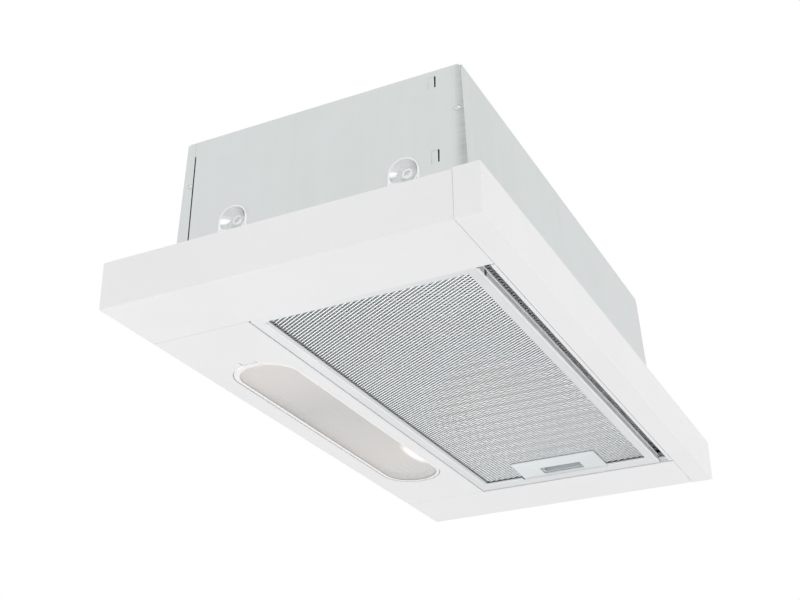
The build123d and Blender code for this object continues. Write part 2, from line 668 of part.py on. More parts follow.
FAN_SLOT = (132.0, 156.0)
LIGHT_SLOT = (182.0, 196.0)
with BuildPart() as carriage_cover:
    block(-RAIL_IN, RAIL_IN, 21.8, 197, 30, 31)
    for x0, x1 in (FAN_SLOT, LIGHT_SLOT):
        block(x0, x1, 40.5, 45.5, 29, 32, mode=Mode.SUBTRACT)
carriage_cover.part.label = "carriage_cover"

with BuildPart() as rear_bar:
    block(-RAIL_IN, RAIL_IN, 216, CARR_REAR, 16, 23)
    block(-RAIL_IN - 1, RAIL_IN + 1, 217, CARR_REAR - 1, 17, 22, mode=Mode.SUBTRACT)
    block(-217, -211, CARR_REAR - 2, CARR_REAR + 2.8, 22.9, 29)
rear_bar.part.label = "rear_bar"

with BuildPart() as carriage_filter_frame:
    block(-222.6, 222.6, 24, 214, 16.0, 23.0)
    block(-221.6, 221.6, 25, 213, 16.8, 22.2, mode=Mode.SUBTRACT)
    block(-213, 213, 33, 205, 15, 24, mode=Mode.SUBTRACT)
carriage_filter_frame.part.label = "carriage_filter_frame"

with BuildPart() as carriage_mesh:
    block(-219, 219, 27, 211, 17.0, 17.4)
    block(-219, 219, 27, 211, 21.6, 22.0)
carriage_mesh.part.label = "carriage_mesh"

with BuildPart() as control_panel:
    block(118, 214, 26, 60, 31, 33.4)
    round_edges(2.0, lambda p: near(abs(p.Z - 32.2), 0, 0.1))
    for x0, x1 in (FAN_SLOT, LIGHT_SLOT):
        block(x0, x1, 40.5, 45.5, 30, 35, mode=Mode.SUBTRACT)
control_panel.part.label = "control_panel"

with BuildPart() as switch_box:
    block(124, 208, 32, 54, 24.0, 30)
    block(126, 206, 38, 48, 26.0, 31, mode=Mode.SUBTRACT)
switch_box.part.label = "switch_box"


def slider_knob(x):
    block(x - 5, x + 5, 38, 48, 33.8, 36.0)
    block(x - 1.2, x + 1.2, 38, 48, 35.5, 37.4)
    block(x - 2, x + 2, 41, 45, 28.0, 34.0)
    block(x - 4, x + 4, 39, 47, 26.6, 28.6)


with BuildPart() as fan_slider:
    slider_knob(135.0)
fan_slider.part.label = "fan_slider"

with BuildPart() as light_slider:
    slider_knob(185.0)
light_slider.part.label = "light_slider"

# ------------------------------------------------------------- grease filter
NOTCH = (LATCH[0] - 0.4, LATCH[1] + 0.3, LATCH[2] - 0.4, LATCH[3] + 0.4)
with BuildPart() as filter_frame:
    block(FIL_X0, FIL_X1, FIL_D0, FIL_D1, FIL_Z0, FIL_Z1)
    round_edges(3.0, lambda p: near(p.Z, (FIL_Z0 + FIL_Z1) / 2))
    block(FIL_X0 + 1, FIL_X1 - 1, FIL_D0 + 1, FIL_D1 - 1, FIL_Z0 + 0.8, FIL_Z1 - 0.8, mode=Mode.SUBTRACT)
    block(WIN_X0, WIN_X1, WIN_D0, WIN_D1, FIL_Z0 - 1, FIL_Z1 + 1, mode=Mode.SUBTRACT)
    block(*NOTCH, FIL_Z0 - 1, FIL_Z1 + 1, mode=Mode.SUBTRACT)
    # way out for the latch's tongue
    block(FIL_X1 - 3, FIL_X1 + 1, 116.4, 131.6, 2.2, 6.4, mode=Mode.SUBTRACT)
    for d0, d1 in HOOK_D:
        block(-236.0, FIL_X0 + 0.5, d0, d1, 2.3, 4.3)
filter_frame.part.label = "filter_frame"

MX0, MX1 = FIL_X0 + 2.0, 222.0
MD0, MD1 = FIL_D0 + 2.0, FIL_D1 - 2.0


def mesh_layer(z0, z1):
    block(MX0, MX1, MD0, MD1, z0, z1)
    block(*NOTCH, z0 - 1, z1 + 1, mode=Mode.SUBTRACT)
    block(205, 230, 112, 136, z0 - 1, z1 + 1, mode=Mode.SUBTRACT)


with BuildPart() as filter_mesh_lower:
    mesh_layer(1.6, 2.0)
filter_mesh_lower.part.label = "filter_mesh_lower"

with BuildPart() as filter_mesh_upper:
    mesh_layer(7.0, 7.4)
filter_mesh_upper.part.label = "filter_mesh_upper"

# crimped inner layer
CRIMP = 9.0
with BuildPart() as filter_mesh_core:
    n = int((MX1 - MX0) // CRIMP)
    line = []
    for i in range(n + 1):
        line.append((MX0 + i * CRIMP, 2.3 if i % 2 == 0 else 6.5))
    with BuildSketch(Plane.XZ.offset(-(YF + MD0))) as crimp:
        with BuildLine():
            up = [(x, z + 0.25) for x, z in line]
            Polyline(*line, *reversed(up), close=True)
        make_face()
    extrude(crimp.sketch, amount=-(MD1 - MD0))
    block(*NOTCH, 0, 9, mode=Mode.SUBTRACT)
    block(161, 230, 81.6, 170.4, 0, 9, mode=Mode.SUBTRACT)
filter_mesh_core.part.label = "filter_mesh_core"

with BuildPart() as latch_housing:
    block(*LATCH, FIL_Z0, 8.2)
    round_edges(2.0, lambda p: near(p.Z, (FIL_Z0 + 8.2) / 2) and p.X < 170)
    block(LATCH[0] + 1.2, LATCH[1] + 1, LATCH[2] + 2, LATCH[3] - 2, 1.8, 7.4, mode=Mode.SUBTRACT)
    with BuildSketch(Plane.XY.offset(0)) as grip:
        with Locations(((GRIP[0] + GRIP[1]) / 2, YF + (GRIP[2] + GRIP[3]) / 2)):
            RectangleRounded(GRIP[1] - GRIP[0], GRIP[3] - GRIP[2], 3.0)
    extrude(grip.sketch, amount=2.5, mode=Mode.SUBTRACT)
latch_housing.part.label = "latch_housing"

with BuildPart() as latch_slider:
    block(178, 205, 98, 150, 2.1, 7.1)
    block(187, 201.4, 105, 143, 1.0, 6.2, mode=Mode.SUBTRACT)
    block(204, 226.1, 117, 131, 2.7, 5.9)
    block(176, 178.5, 120, 128, 3.0, 6.0)
latch_slider.part.label = "latch_slider"

with BuildPart() as latch_spring:
    with BuildSketch(Plane.YZ.offset(163.3)) as coil:
        with Locations((YF + 124, 4.5)):
            Circle(2.2)
            Circle(1.7, mode=Mode.SUBTRACT)
    extrude(coil.sketch, amount=12.6)
latch_spring.part.label = "latch_spring"

# ----------------------------------------------------------------- lamp lens
with BuildPart() as lamp_lens:
    stadium(LENS_R, 0.3, 2.3)
    stadium_cone(26.4, 2.2, 23.0, 7.5)
    stadium_cone(25.4, 0.2, 21.6, 6.0, mode=Mode.SUBTRACT)
    block(163.4, 170, LENS_D - 40, LENS_D + 40, 0, 9, mode=Mode.SUBTRACT)
lamp_lens.part.label = "lamp_lens"

# ---------------------------------------------------------------- write out
pieces = [
    case_front, case_rear, case_left, case_right, case_top, side_cups, case_screws,
    end_strip_left, end_strip_right, lamp_panel, front_rail, base_screws,
    runner_left, runner_right, lamp_reflector, lamp_holders, bulbs, lens_clip,
    scroll_wrap, scroll_side_left, scroll_side_right, blower_screws,
    motor, motor_bracket, motor_shaft, impeller, impeller_blades, capacitor, capacitor_clip,
    terminal_box, terminal_cover, cable_gland, gland_nut,
    duct_spigot, flap_front, flap_rear, microswitch, switch_lever, switch_bracket,
    fascia, front_beam, fascia_brackets, rail_left, rail_right, carriage_cover,
    rear_bar, carriage_filter_frame, carriage_mesh, control_panel, switch_box,
    fan_slider, light_slider,
    filter_frame, filter_mesh_lower, filter_mesh_core, filter_mesh_upper,
    latch_housing, latch_slider, latch_spring, lamp_lens,
]
for piece in pieces:
    export_step(piece.part, f"parts/{piece.part.label}.step")
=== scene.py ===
import json
import math
import random

import bpy
import bmesh
import numpy as np
from mathutils import Matrix, Vector


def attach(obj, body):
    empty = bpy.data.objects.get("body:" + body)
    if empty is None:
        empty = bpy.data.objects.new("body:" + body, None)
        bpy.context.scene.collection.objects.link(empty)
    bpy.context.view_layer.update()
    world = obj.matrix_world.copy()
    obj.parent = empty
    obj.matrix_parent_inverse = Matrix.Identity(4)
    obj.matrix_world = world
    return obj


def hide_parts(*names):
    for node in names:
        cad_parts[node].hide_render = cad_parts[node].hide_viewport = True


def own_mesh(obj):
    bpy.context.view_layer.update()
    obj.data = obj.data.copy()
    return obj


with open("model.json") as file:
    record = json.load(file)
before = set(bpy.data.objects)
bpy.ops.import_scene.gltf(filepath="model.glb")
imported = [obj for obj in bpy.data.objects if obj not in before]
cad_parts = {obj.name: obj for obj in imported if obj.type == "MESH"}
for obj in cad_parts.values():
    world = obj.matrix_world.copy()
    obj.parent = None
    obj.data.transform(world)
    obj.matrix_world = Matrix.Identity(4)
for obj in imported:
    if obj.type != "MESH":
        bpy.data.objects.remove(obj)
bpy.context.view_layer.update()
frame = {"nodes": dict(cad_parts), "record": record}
nodes = frame["nodes"]
scene = bpy.context.scene

YF = -0.1545      # y of the front face; depths d are measured back from it
MM = 0.001


def pt(x, d, z):
    """Point in metres from x, depth and height in millimetres."""
    return Vector((x * MM, YF + d * MM, z * MM))


# ------------------------------------------------------------------ materials
class Tree:
    """Small helper for writing node trees."""

    def __init__(self, name):
        self.mat = bpy.data.materials.new(name)
        self.mat.use_nodes = True
        self.nt = self.mat.node_tree
        self.nt.nodes.clear()
        self.out = self.add("ShaderNodeOutputMaterial")
        self.coord = self.add("ShaderNodeTexCoord").outputs["Object"]

    def add(self, kind, **props):
        n = self.nt.nodes.new(kind)
        for k, v in props.items():
            setattr(n, k, v)
        return n

    def link(self, a, b):
        self.nt.links.new(a, b)
        return b

    def scaled(self, sx, sy=None, sz=None, rot=(0, 0, 0), loc=(0, 0, 0)):
        m = self.add("ShaderNodeMapping")
        sy = sx if sy is None else sy
        sz = sx if sz is None else sz
        m.inputs["Scale"].default_value = (sx, sy, sz)
        m.inputs["Rotation"].default_value = rot
        m.inputs["Location"].default_value = loc
        self.link(self.coord, m.inputs["Vector"])
        return m.outputs["Vector"]

    def noise(self, vec, scale=1.0, detail=3.0, rough=0.55, distort=0.0):
        n = self.add("ShaderNodeTexNoise")
        n.inputs["Scale"].default_value = scale
        n.inputs["Detail"].default_value = detail
        n.inputs["Roughness"].default_value = rough
        n.inputs["Distortion"].default_value = distort
        self.link(vec, n.inputs["Vector"])
        return n.outputs["Fac"]

    def cells(self, vec, scale=1.0, feature="F1", random=1.0, out="Color"):
        n = self.add("ShaderNodeTexVoronoi", feature=feature)
        n.inputs["Scale"].default_value = scale
        n.inputs["Randomness"].default_value = random
        self.link(vec, n.inputs["Vector"])
        return n.outputs[out]

    def span(self, fac, lo, hi, a=0.3, b=0.7):
        n = self.add("ShaderNodeMapRange")
        n.inputs["From Min"].default_value = a
        n.inputs["From Max"].default_value = b
        n.inputs["To Min"].default_value = lo
        n.inputs["To Max"].default_value = hi
        self.link(fac, n.inputs["Value"])
        return n.outputs["Result"]

    def ramp(self, fac, stops):
        n = self.add("ShaderNodeValToRGB")
        el = n.color_ramp.elements
        while len(el) < len(stops):
            el.new(0.5)
        for e, (p, c) in zip(el, stops):
            e.position = p
            e.color = (*c, 1)
        self.link(fac, n.inputs["Fac"])
        return n.outputs["Color"]

    def mix(self, fac, a, b, mode="MIX"):
        n = self.add("ShaderNodeMix", data_type="RGBA", blend_type=mode)
        for sock, v in ((n.inputs[0], fac), (n.inputs[6], a), (n.inputs[7], b)):
            if hasattr(v, "links"):
                self.link(v, sock)
            elif isinstance(v, (int, float)):
                sock.default_value = v
            else:
                sock.default_value = (*v, 1)
        return n.outputs[2]

    def math(self, op, a, b=0.5):
        n = self.add("ShaderNodeMath", operation=op)
        for sock, v in zip(n.inputs, (a, b)):
            if hasattr(v, "links"):
                self.link(v, sock)
            else:
                sock.default_value = v
        return n.outputs[0]

    def bump(self, height, strength, distance, normal=None):
        n = self.add("ShaderNodeBump")
        n.inputs["Strength"].default_value = strength
        n.inputs["Distance"].default_value = distance
        self.link(height, n.inputs["Height"])
        if normal is not None:
            self.link(normal, n.inputs["Normal"])
        return n.outputs["Normal"]

    def principled(self, color=None, rough=None, normal=None, metallic=0.0, **sockets):
        p = self.add("ShaderNodeBsdfPrincipled")
        if color is not None:
            if hasattr(color, "links"):
                self.link(color, p.inputs["Base Color"])
            else:
                p.inputs["Base Color"].default_value = (*color, 1)
        if rough is not None:
            if hasattr(rough, "links"):
                self.link(rough, p.inputs["Roughness"])
            else:
                p.inputs["Roughness"].default_value = rough
        if normal is not None:
            self.link(normal, p.inputs["Normal"])
        p.inputs["Metallic"].default_value = metallic
        for k, v in sockets.items():
            p.inputs[k.replace("_", " ")].default_value = v
        self.link(p.outputs["BSDF"], self.out.inputs["Surface"])
        return p


def tint(c, k):
    return tuple(max(0.0, min(1.0, v * k)) for v in c)


def enamel(name, base, rough=(0.28, 0.38), spread=0.02, peel=0.12):
    """Powder coat: faint orange peel, slightly uneven gloss, a trace of handling marks."""
    t = Tree(name)
    macro = t.noise(t.scaled(9), detail=4)
    marks = t.noise(t.scaled(26, 26, 40), detail=6, rough=0.7, distort=0.6)
    col = t.ramp(macro, [(0.30, tint(base, 1 - spread)), (0.70, tint(base, 1 + spread * 0.6))])
    col = t.mix(t.span(marks, 0.0, 0.35, 0.58, 0.80), col, tint(base, 0.965))
    r = t.math("ADD", t.span(marks, rough[0], rough[1]), t.span(macro, -0.02, 0.03))
    grain = t.noise(t.scaled(900), detail=2, rough=0.5)
    wave = t.noise(t.scaled(60), detail=2)
    n = t.bump(wave, 0.05, 0.0006)
    n = t.bump(grain, peel, 0.00012, n)
    t.principled(col, r, n, 0.0, Specular_IOR_Level=0.45)
    return t.mat


def plastic(name, base, rough=(0.40, 0.55), spread=0.05, grain_scale=700, grain=0.25):
    """Moulded plastic with a fine spark-eroded grain and slight flow shading."""
    t = Tree(name)
    macro = t.noise(t.scaled(14, 14, 22), detail=5, rough=0.6)
    dust = t.noise(t.scaled(120), detail=4, rough=0.7)
    col = t.ramp(macro, [(0.28, tint(base, 1 - spread)), (0.72, tint(base, 1 + spread))])
    col = t.mix(t.span(dust, 0.0, 0.22, 0.55, 0.75), col, tint(base, 1.25))
    r = t.span(t.mix(0.5, macro, dust), rough[0], rough[1])
    fine = t.noise(t.scaled(grain_scale), detail=2)
    n = t.bump(fine, grain, 0.00015)
    t.principled(col, r, n, 0.0, Specular_IOR_Level=0.5)
    return t.mat


def metal(name, base, rough=(0.25, 0.40), spread=0.05, brush=None, brush_bump=0.05, metallic=1.0, streak=0.05, pits=0.0, wear=0.0):
    """Sheet metal. brush is the (x, y, z) stretch of the rolling or brushing marks."""
    t = Tree(name)
    macro = t.noise(t.scaled(11), detail=5, rough=0.62)
    if brush is None:
        fine = t.noise(t.scaled(500), detail=3)
    else:
        fine = t.noise(t.scaled(*brush), detail=4, rough=0.7)
    col = t.ramp(macro, [(0.28, tint(base, 1 - spread)), (0.72, tint(base, 1 + spread * 0.7))])
    col = t.mix(t.span(fine, 0.0, streak * 6, 0.45, 0.85), col, tint(base, 0.80))
    if wear:
        smear = t.noise(t.scaled(45, 45, 45), detail=6, rough=0.75, distort=1.2)
        col = t.mix(t.span(smear, 0.0, wear, 0.56, 0.72), col, tint(base, 0.82))
    r = t.math("ADD", t.span(fine, rough[0], rough[1]), t.span(macro, -0.03, 0.05))
    n = t.bump(fine, brush_bump, 0.00008)
    t.principled(col, r, n, metallic)
    return t.mat


def galvanised(name, painted_flange_shade=False):
    """Zinc-coated sheet: low-contrast spangle, faint vertical rolling marks, cloudy stains."""
    t = Tree(name)
    base = (0.715, 0.750, 0.745)
    warp = t.add("ShaderNodeVectorMath", operation="ADD")
    t.link(t.scaled(1.0), warp.inputs[0])
    wn = t.add("ShaderNodeTexNoise")
    wn.inputs["Scale"].default_value = 60
    t.link(t.coord, wn.inputs["Vector"])
    sc = t.add("ShaderNodeVectorMath", operation="SCALE")
    sc.inputs["Scale"].default_value = 0.010
    t.link(wn.outputs["Color"], sc.inputs[0])
    t.link(sc.outputs[0], warp.inputs[1])
    vor = t.add("ShaderNodeTexVoronoi", feature="F1")
    vor.inputs["Scale"].default_value = 95
    t.link(warp.outputs[0], vor.inputs["Vector"])
    sep = t.add("ShaderNodeSeparateColor")
    t.link(vor.outputs["Color"], sep.inputs["Color"])
    spangle = sep.outputs[0]
    cloud = t.noise(t.scaled(7, 7, 4), detail=5, rough=0.6, distort=0.4)
    roll = t.noise(t.scaled(110, 110, 5), detail=4, rough=0.7)
    stain = t.noise(t.scaled(18, 18, 12), detail=7, rough=0.72, distort=1.0)
    col = t.ramp(cloud, [(0.30, tint(base, 0.975)), (0.50, base), (0.70, (0.735, 0.745, 0.750))])
    col = t.mix(t.span(spangle, 0.0, 0.22, 0.15, 0.85), col, tint(base, 1.06))
    col = t.mix(t.span(stain, 0.0, 0.14, 0.58, 0.75), col, tint(base, 0.88))
    n = t.bump(spangle, 0.03, 0.0002)
    n = t.bump(roll, 0.06, 0.00015, n)
    if painted_flange_shade:
        # painted shade: on the side flanges by the front fold the zinc colour is darkened, standing in for the darker
        # reflection in the curved sheet; faint press ripples are bumped in as well
        sep3 = t.add("ShaderNodeSeparateXYZ")
        t.link(t.coord, sep3.inputs[0])
        face = t.add("ShaderNodeNewGeometry")
        sepn = t.add("ShaderNodeSeparateXYZ")
        t.link(face.outputs["Normal"], sepn.inputs[0])
        side = t.span(t.math("ABSOLUTE", sepn.outputs[0]), 0.0, 1.0, 0.6, 0.8)
        edge = t.span(sep3.outputs[1], 1.0, 0.0, YF + 0.0405, YF + 0.0480)
        ripple = t.noise(t.scaled(30, 30, 420), detail=3, rough=0.6)
        painted_shade_amount = t.math("MULTIPLY", t.math("MULTIPLY", side, edge), t.span(ripple, 0.75, 1.0, 0.35, 0.6))
        # painted shade: the flange strip is mixed towards a darker tint
        col = t.mix(painted_shade_amount, col, tint(base, 0.67))
        n = t.bump(ripple, 0.12, 0.0002, n)
    r = t.math("ADD", t.span(spangle, 0.40, 0.50, 0.0, 1.0), t.span(roll, -0.04, 0.05))
    t.principled(col, r, n, 0.85)
    return t.mat


MATS = {}
MATS["white_enamel"] = enamel("white_enamel", (0.845, 0.845, 0.855))
MATS["galvanised"] = galvanised("galvanised")
# copy of the zinc sheet with painted shade on its side flanges by the front fold
MATS["galvanised_flange_painted_shade"] = galvanised("galvanised_flange_painted_shade", True)
MATS["zinc_screw"] = metal("zinc_screw", (0.78, 0.79, 0.80), (0.16, 0.26), streak=0.04, wear=0.3)
MATS["cup_steel"] = metal("cup_steel", (0.87, 0.885, 0.885), (0.14, 0.22), spread=0.02, streak=0.01, brush_bump=0.02)
MATS["reflector_white"] = enamel("reflector_white", (0.80, 0.78, 0.74), (0.45, 0.6), 0.03, 0.1)
MATS["holder_plastic"] = plastic("holder_plastic", (0.80, 0.76, 0.69), (0.35, 0.5))
MATS["scroll_plastic"] = plastic("scroll_plastic", (0.060, 0.063, 0.066), (0.38, 0.55), 0.10)
MATS["flap_plastic"] = plastic("flap_plastic", (0.78, 0.78, 0.77), (0.35, 0.5), 0.03)
MATS["motor_steel"] = metal("motor_steel", (0.50, 0.51, 0.53), (0.30, 0.45), brush=(1800, 90, 90), streak=0.06, wear=0.4)
MATS["capacitor_white"] = plastic("capacitor_white", (0.80, 0.80, 0.78), (0.22, 0.35), 0.03, 400, 0.1)
MATS["gland_black"] = plastic("gland_black", (0.022, 0.022, 0.024), (0.35, 0.5), 0.15)
MATS["slider_grey"] = plastic("slider_grey", (0.36, 0.37, 0.39), (0.35, 0.48), 0.05)
MATS["spring_steel"] = metal("spring_steel", (0.62, 0.63, 0.64), (0.2, 0.3), streak=0.05)
MATS["carriage_steel"] = enamel("carriage_steel", (0.68, 0.69, 0.70), (0.35, 0.5), 0.03, 0.15)
MATS["carriage_mesh_dark"] = metal("carriage_mesh_dark", (0.86, 0.87, 0.88), (0.30, 0.42), streak=0.04, metallic=0.2)
MATS["filter_aluminium"] = metal("filter_aluminium", (0.815, 0.830, 0.840), (0.30, 0.42), 0.03, brush=(8, 900, 900), streak=0.03, brush_bump=0.08)
# painted shade: the frame's aluminium made darker (0.69) for the sunk ledge round the window
MATS["filter_ledge_painted_shade"] = metal("filter_ledge_painted_shade", (0.690, 0.710, 0.715), (0.34, 0.46), 0.03, brush=(8, 900, 900), streak=0.03, brush_bump=0.08)
# partly real, partly painted highlight: the rolled edges are smoother, and their aluminium is made lighter (0.94) so
# they read as bright lines
MATS["filter_edge_painted_highlight"] = metal("filter_edge_painted_highlight", (0.94, 0.95, 0.955), (0.22, 0.32), 0.02, brush=(8, 900, 900), streak=0.01, brush_bump=0.03)
MATS["filter_wall"] = metal("filter_wall", (0.80, 0.82, 0.83), (0.38, 0.52), 0.04, brush=(6, 500, 500), streak=0.08, brush_bump=0.08, metallic=0.25)
MATS["filter_mesh_aluminium"] = metal("filter_mesh_aluminium", (0.62, 0.645, 0.65), (0.12, 0.20), 0.03, streak=0.02)
# painted shade: the upper and core mesh layers are aluminium like the lower mesh, coloured dark grey (0.24) and near
# black (0.11) to stand in for the shade inside the filter
MATS["filter_mesh_inner"] = metal("filter_mesh_inner", (0.24, 0.25, 0.255), (0.34, 0.46), 0.06, streak=0.05)
MATS["filter_core_dull"] = metal("filter_core_dull", (0.11, 0.115, 0.12), (0.45, 0.60), 0.12, streak=0.06)
# painted highlight: near-white enamel on the rolled top edge of the aluminium filter wall, standing in for the bright
# line it catches
MATS["bead_painted_highlight"] = enamel("bead_painted_highlight", (0.97, 0.97, 0.97), (0.2, 0.3), 0.01, 0.05)
MATS["seal_grey"] = plastic("seal_grey", (0.07, 0.07, 0.075), (0.6, 0.8), 0.10)
# painted shade: near-black colour for the carriage filter's upper mesh layer, standing in for the shade inside the
# carriage
MATS["carriage_mesh_back_painted_shade"] = metal("carriage_mesh_back_painted_shade", (0.05, 0.052, 0.054), (0.40, 0.55), 0.10, streak=0.06)
MATS["latch_aluminium"] = metal("latch_aluminium", (0.80, 0.835, 0.845), (0.34, 0.46), 0.02, brush=(900, 8, 900), streak=0.02, brush_bump=0.06)
MATS["latch_grey"] = plastic("latch_grey", (0.53, 0.56, 0.57), (0.35, 0.5), 0.04)


def bulb_material():
    t = Tree("bulb_glass")
    macro = t.noise(t.scaled(70), detail=4)
    col = t.ramp(macro, [(0.3, (0.83, 0.80, 0.74)), (0.7, (0.88, 0.86, 0.81))])
    r = t.span(macro, 0.18, 0.30)
    fine = t.noise(t.scaled(1200), detail=2)
    n = t.bump(fine, 0.1, 0.0001)
    t.principled(col, r, n, 0.0, Subsurface_Weight=0.25, Subsurface_Radius=(0.004, 0.004, 0.004))
    return t.mat


def lens_material():
    """Translucent moulded plastic, warm grey; painted shade darkens it left of the middle and lightens it towards the
    ends, and a painted highlight sits beside the right-hand lamp.
    """
    t = Tree("lens_clear")
    macro = t.noise(t.scaled(7, 7, 7), detail=3, rough=0.5)
    flow = t.noise(t.scaled(10, 60, 30), detail=3, rough=0.5)
    sep = t.add("ShaderNodeSeparateXYZ")
    t.link(t.coord, sep.inputs[0])
    # painted shade: colour darkest left of the middle, lighter towards both ends in x
    along = t.ramp(t.span(sep.outputs[0], 0.0, 1.0, -0.160, 0.160),
                   [(0.0, (0.86, 0.81, 0.77)), (0.16, (0.77, 0.74, 0.72)), (0.36, (0.655, 0.645, 0.645)),
                    (0.62, (0.71, 0.69, 0.67)), (0.80, (0.75, 0.725, 0.70)), (1.0, (0.72, 0.71, 0.69))])
    col = t.mix(t.span(macro, 0.0, 0.25, 0.4, 0.7), along, (0.74, 0.72, 0.70))
    r = t.span(flow, 0.26, 0.32)
    n = None
    # painted highlight: a pale patch beside the right-hand lamp, lighter in colour and faintly emissive, stands in for
    # the lamp's glint
    painted_highlight_dist = t.add("ShaderNodeVectorMath", operation="LENGTH")
    shift = t.add("ShaderNodeMapping")
    shift.inputs["Location"].default_value = (-0.100 / 0.028, (0.1545 - 0.2403) / 0.0070, 0.0)
    shift.inputs["Scale"].default_value = (1 / 0.028, 1 / 0.0070, 0.0)
    t.link(t.coord, shift.inputs["Vector"])
    t.link(shift.outputs["Vector"], painted_highlight_dist.inputs[0])
    near = t.span(painted_highlight_dist.outputs["Value"], 1.0, 0.0, 0.35, 1.15)
    col = t.mix(near, col, (0.97, 0.955, 0.93))
    p = t.principled(col, r, n, 0.0, Transmission_Weight=0.10, IOR=1.40, Specular_IOR_Level=0.5)
    # painted highlight: the same patch is made faintly emissive
    painted_emission = t.mix(near, (0.0, 0.0, 0.0), (0.38, 0.365, 0.335))
    t.link(painted_emission, p.inputs["Emission Color"])
    p.inputs["Emission Strength"].default_value = 1.0
    return t.mat


def rim_material():
    """Thick edge of the same moulding, where it turns milky white."""
    t = Tree("lens_rim")
    macro = t.noise(t.scaled(20), detail=3, rough=0.5)
    col = t.ramp(macro, [(0.3, (0.90, 0.89, 0.87)), (0.7, (0.93, 0.92, 0.905))])
    fine = t.noise(t.scaled(500), detail=2)
    t.principled(col, t.span(macro, 0.20, 0.30), t.bump(fine, 0.03, 0.0001), 0.0,
                 Subsurface_Weight=0.2, Subsurface_Radius=(0.003, 0.003, 0.003), Specular_IOR_Level=0.5)
    return t.mat


MATS["bulb_glass"] = bulb_material()
MATS["lens_clear"] = lens_material()
MATS["lens_rim"] = rim_material()
# painted shade: dark grey for the crease at the foot of the lens wall, standing in for the shade there
MATS["lens_groove_painted_shade"] = plastic("lens_groove_painted_shade", (0.40, 0.39, 0.385), (0.45, 0.60), 0.06)

for sub in frame["record"]["subparts"]:
    ob = nodes[sub["node"]]
    m = MATS[sub["material_slot"]]
    if not ob.material_slots:
        ob.data.materials.append(m)
    for s in ob.material_slots:
        s.material = m
# the case front takes the zinc copy with painted shade on its flanges
for s in nodes["case_front"].material_slots:
    s.material = MATS["galvanised_flange_painted_shade"]
for s in nodes["case_rear"].material_slots:
    s.material = MATS["galvanised"]


# ------------------------------------------------------------------ mesh tools
def make(name, verts, faces, mat, body, replaces=(), smooth=False):
    me = bpy.data.meshes.new(name)
    me.from_pydata([tuple(v) for v in verts], [], faces)
    me.validate()
    me.update()
    ob = bpy.data.objects.new(name, me)
    scene.collection.objects.link(ob)
    me.materials.append(MATS[mat])
    for p in me.polygons:
        p.use_smooth = smooth
    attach(ob, body)
    if replaces:
        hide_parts(*replaces)
    return ob


def expanded(x0, x1, d0, d1, zc, px=3.6, pd=6.14, w=0.60, t=0.20, tilt=45.0, slope=-1, cuts=(), wave=None):
    """Expanded metal: zigzag strands that join edge to edge at the knuckles.
    Sizes in millimetres; returns vertices in metres and faces."""
    th = math.radians(tilt)
    ux, uz = math.cos(th), slope * math.sin(th)
    nx, nz = -uz, ux
    rows = int((d1 - d0) / (pd / 2)) + 1
    lines = int((x1 - x0) / (px / 2))
    verts, faces = [], []
    for k in range(lines):
        run = []
        for j in range(rows):
            if (k + j) % 2 == 0:      # left member of its pair
                cx = x0 + (k + 1) * px / 2
                ox, oz = -w / 2 * ux * 0.96, -w / 2 * uz * 0.96
            else:
                cx = x0 + k * px / 2
                ox, oz = w / 2 * ux * 0.96, w / 2 * uz * 0.96
            d = d0 + j * pd / 2
            x = cx + ox
            inside = any(a < x < b and c < d < e for a, b, c, e in cuts)
            z = zc + oz + (wave(x, d) if wave else 0.0)
            if inside:
                run.append(None)
            else:
                run.append((x, d, z))
        piece = []
        for p in run + [None]:
            if p is not None:
                piece.append(p)
                continue
            if len(piece) > 1:
                base = len(verts)
                for x, d, z in piece:
                    for a, b in ((-1, -1), (1, -1), (1, 1), (-1, 1)):
                        verts.append(((x + a * w / 2 * ux + b * t / 2 * nx) * MM, YF + d * MM,
                                      (z + a * w / 2 * uz + b * t / 2 * nz) * MM))
                for i in range(len(piece) - 1):
                    p0, p1 = base + 4 * i, base + 4 * i + 4
                    for q in range(4):
                        r = (q + 1) % 4
                        faces.append((p0 + q, p1 + q, p1 + r, p0 + r))
                faces.append((base, base + 1, base + 2, base + 3))
                e = base + 4 * (len(piece) - 1)
                faces.append((e + 3, e + 2, e + 1, e))
            piece = []
    return verts, faces


# ------------------------------------------------------------- grease filter
NOTCH = (166.5, 213.0, 85.0, 165.0)
v, f = expanded(-226.9, 209.0, 38.6, 212.9, 2.0, w=0.44, t=0.06, tilt=25, cuts=[NOTCH])
make("filter_mesh_lower_v", v, f, "filter_mesh_aluminium", "grease_filter", ["filter_mesh_lower"])
# upper layer in dark grey as painted shade
v, f = expanded(-226.9, 212.0, 38.6, 213.9, 7.1, w=0.46, t=0.12, tilt=24, slope=1, cuts=[NOTCH])
make("filter_mesh_upper_v", v, f, "filter_mesh_inner", "grease_filter", ["filter_mesh_upper"])


def crimp(x, d):
    u = (x + 225.0) / 9.0
    return 1.45 * (abs((u % 2) - 1) * 2 - 1)


# core layer in near black as painted shade
v, f = expanded(-225.5, 211.0, 41.0, 213.6, 4.6, px=5.2, pd=9.0, w=1.3, t=0.2, tilt=30, cuts=[NOTCH], wave=crimp)
make("filter_mesh_core_v", v, f, "filter_core_dull", "grease_filter", ["filter_mesh_core"])

# ------------------------------------------------------------ carriage filter
v, f = expanded(-218.0, 218.0, 25.5, 207.0, 17.2, px=4.9, pd=8.4, w=0.85, t=0.14, tilt=30)
v2, f2 = expanded(-218.0, 218.0, 25.5, 207.0, 21.8, w=1.2, t=0.2, tilt=20, slope=1)
n = len(v)
cm = make("carriage_mesh_v", v + v2, f + [tuple(i + n for i in q) for q in f2], "carriage_mesh_dark", "carriage", ["carriage_mesh"])
